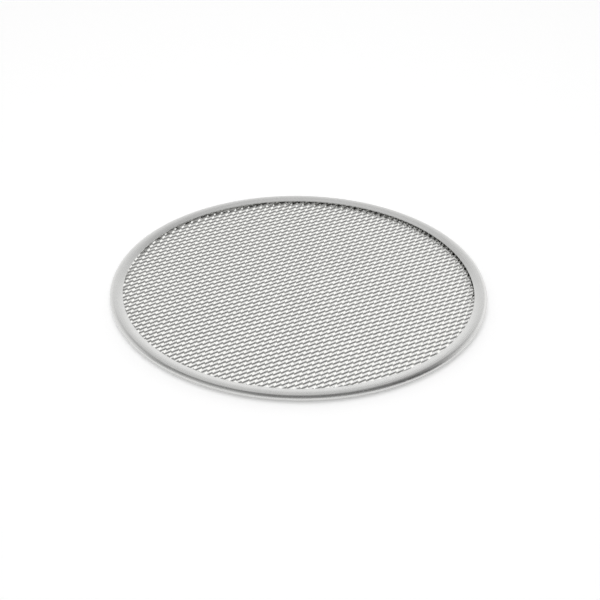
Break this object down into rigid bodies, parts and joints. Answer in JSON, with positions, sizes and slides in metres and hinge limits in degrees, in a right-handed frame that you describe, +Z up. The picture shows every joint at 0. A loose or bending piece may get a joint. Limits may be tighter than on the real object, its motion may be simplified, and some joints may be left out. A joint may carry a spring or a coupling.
{
  "type": "pizza screen",
  "caption": "Flat round baking screen: a disc of expanded aluminium mesh held all round in a folded aluminium rim with a rounded edge.",
  "frame": {"origin": "centre of the disc, on the plane that it rests on", "axes": "+Z up through the disc, +X along the long way of the mesh's diamonds, +Y along their short way"},
  "size_m": [0.3048, 0.3048, 0.0064],
  "materials": {
    "rim_aluminium": "satin, fine circular brushed grain",
    "mesh_aluminium": "bright sheet as expanded, softly reflecting"
  },
  "bodies": {
    "root": {"rim": "rim_aluminium", "mesh": "mesh_aluminium"}
  },
  "joints": []
}
